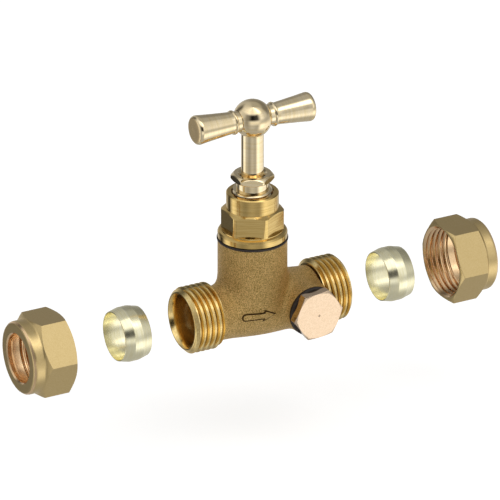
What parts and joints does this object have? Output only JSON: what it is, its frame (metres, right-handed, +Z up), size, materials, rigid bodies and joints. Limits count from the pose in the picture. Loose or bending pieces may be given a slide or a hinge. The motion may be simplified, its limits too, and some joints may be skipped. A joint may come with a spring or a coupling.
{
  "type": "stop valve",
  "caption": "Brass screw-down stop valve with a crutch handle and a drain-off plug, its compression nuts and olives drawn off along the pipe axis.",
  "frame": {"origin": "where the pipe axis meets the spindle axis", "axes": "+X along the pipe in the direction of flow, +Z up the spindle to the handle, -Y out of the drain plug"},
  "size_m": [0.1627, 0.0303, 0.0811],
  "materials": {
    "cast_brass": "sand-cast and tumbled, with machined ends",
    "turned_brass": "turned",
    "nut_brass": "satin, forged and turned",
    "polished_brass": "polished",
    "olive_brass": "bright, pale",
    "black_rubber": "matt",
    "packing_yarn": "greased PTFE yarn"
  },
  "bodies": {
    "valve": {"valve_body": "cast_brass", "bonnet": "turned_brass", "bonnet_seal": "black_rubber", "gland_packing": "packing_yarn"},
    "jumper": {"jumper": "turned_brass", "seat_washer": "black_rubber", "jumper_nut": "turned_brass"},
    "spindle_and_handle": {"spindle": "polished_brass", "crutch_hub": "polished_brass", "crutch_arm_left": "polished_brass", "crutch_arm_right": "polished_brass", "handle_grub_screw": "turned_brass"},
    "gland_follower": {"gland_follower": "turned_brass"},
    "gland_nut": {"gland_nut": "polished_brass"},
    "drain_washer": {"drain_washer": "black_rubber"},
    "drain_plug": {"drain_plug": "polished_brass"},
    "inlet_nut": {"inlet_nut": "nut_brass"},
    "inlet_olive": {"inlet_olive": "olive_brass"},
    "outlet_nut": {"outlet_nut": "nut_brass"},
    "outlet_olive": {"outlet_olive": "olive_brass"}
  },
  "joints": [
    {"name": "jumper_lift", "type": "slide", "parent": "valve", "child": "jumper", "axis": [0, 0, 1], "range_m": [0, 0.00625]},
    {"name": "handle_turn", "type": "hinge", "parent": "jumper", "child": "spindle_and_handle", "pos_m": [0, 0, 0.03], "axis": [0, 0, 1], "range_deg": [0, 900.1]},
    {"name": "gland_press", "type": "slide", "parent": "valve", "child": "gland_follower", "axis": [0, 0, -1], "range_m": [0, 0.001], "deforming": ["gland_packing"]},
    {"name": "gland_nut_turn", "type": "hinge", "parent": "gland_follower", "child": "gland_nut", "pos_m": [0, 0, 0.04], "axis": [0, 0, -1], "range_deg": [0, 288.1]},
    {"name": "drain_plug_out", "type": "slide", "parent": "valve", "child": "drain_washer", "axis": [0, -1, 0], "range_m": [0, 0.006]},
    {"name": "drain_plug_turn", "type": "hinge", "parent": "drain_washer", "child": "drain_plug", "pos_m": [0.0144, -0.0139, 0], "axis": [0, -1, 0], "range_deg": [0, 1615.7]},
    {"name": "inlet_nut_slide", "type": "slide", "parent": "valve", "child": "inlet_nut", "axis": [1, 0, 0], "range_m": [0, 0.0466]},
    {"name": "inlet_olive_slide", "type": "slide", "parent": "valve", "child": "inlet_olive", "axis": [1, 0, 0], "range_m": [0, 0.01541]},
    {"name": "outlet_nut_slide", "type": "slide", "parent": "valve", "child": "outlet_nut", "axis": [-1, 0, 0], "range_m": [0, 0.0418]},
    {"name": "outlet_olive_slide", "type": "slide", "parent": "valve", "child": "outlet_olive", "axis": [-1, 0, 0], "range_m": [0, 0.01521]}
  ],
  "couplings": [
    {"joint": "handle_turn", "follows": "jumper_lift", "rad_per_m": 2513.3},
    {"joint": "gland_nut_turn", "follows": "gland_press", "rad_per_m": 5026.5},
    {"joint": "drain_plug_turn", "follows": "drain_plug_out", "rad_per_m": 4699.5},
    {"joint": "inlet_olive_slide", "follows": "inlet_nut_slide", "ratio": 0.33047},
    {"joint": "outlet_olive_slide", "follows": "outlet_nut_slide", "ratio": 0.36364}
  ]
}
